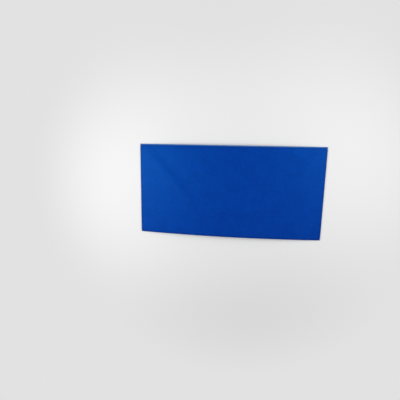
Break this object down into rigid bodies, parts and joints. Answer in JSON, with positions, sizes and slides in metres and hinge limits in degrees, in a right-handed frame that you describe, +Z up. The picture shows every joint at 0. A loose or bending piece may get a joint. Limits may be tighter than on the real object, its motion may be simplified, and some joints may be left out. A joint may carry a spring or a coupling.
{
  "type": "paper envelope",
  "caption": "Long blue paper envelope lying address side up, gently bowed, its gummed flap with slanted sides folded underneath but not stuck down.",
  "frame": {"origin": "middle of the folded envelope's outline, on the surface that it lies on", "axes": "+X along the length, +Y towards the fold of the flap, +Z up out of the address side"},
  "size_m": [0.2194, 0.11, 0.0083],
  "materials": {
    "blue_paper": "matte, dyed deep blue all through, faint fibre texture, creases a little paler",
    "dried_gum": "thin satin film of dried water-activated gum, darker than the paper under it"
  },
  "bodies": {
    "root": {"envelope_sheet": "blue_paper", "gum_strip": "dried_gum"}
  },
  "joints": []
}
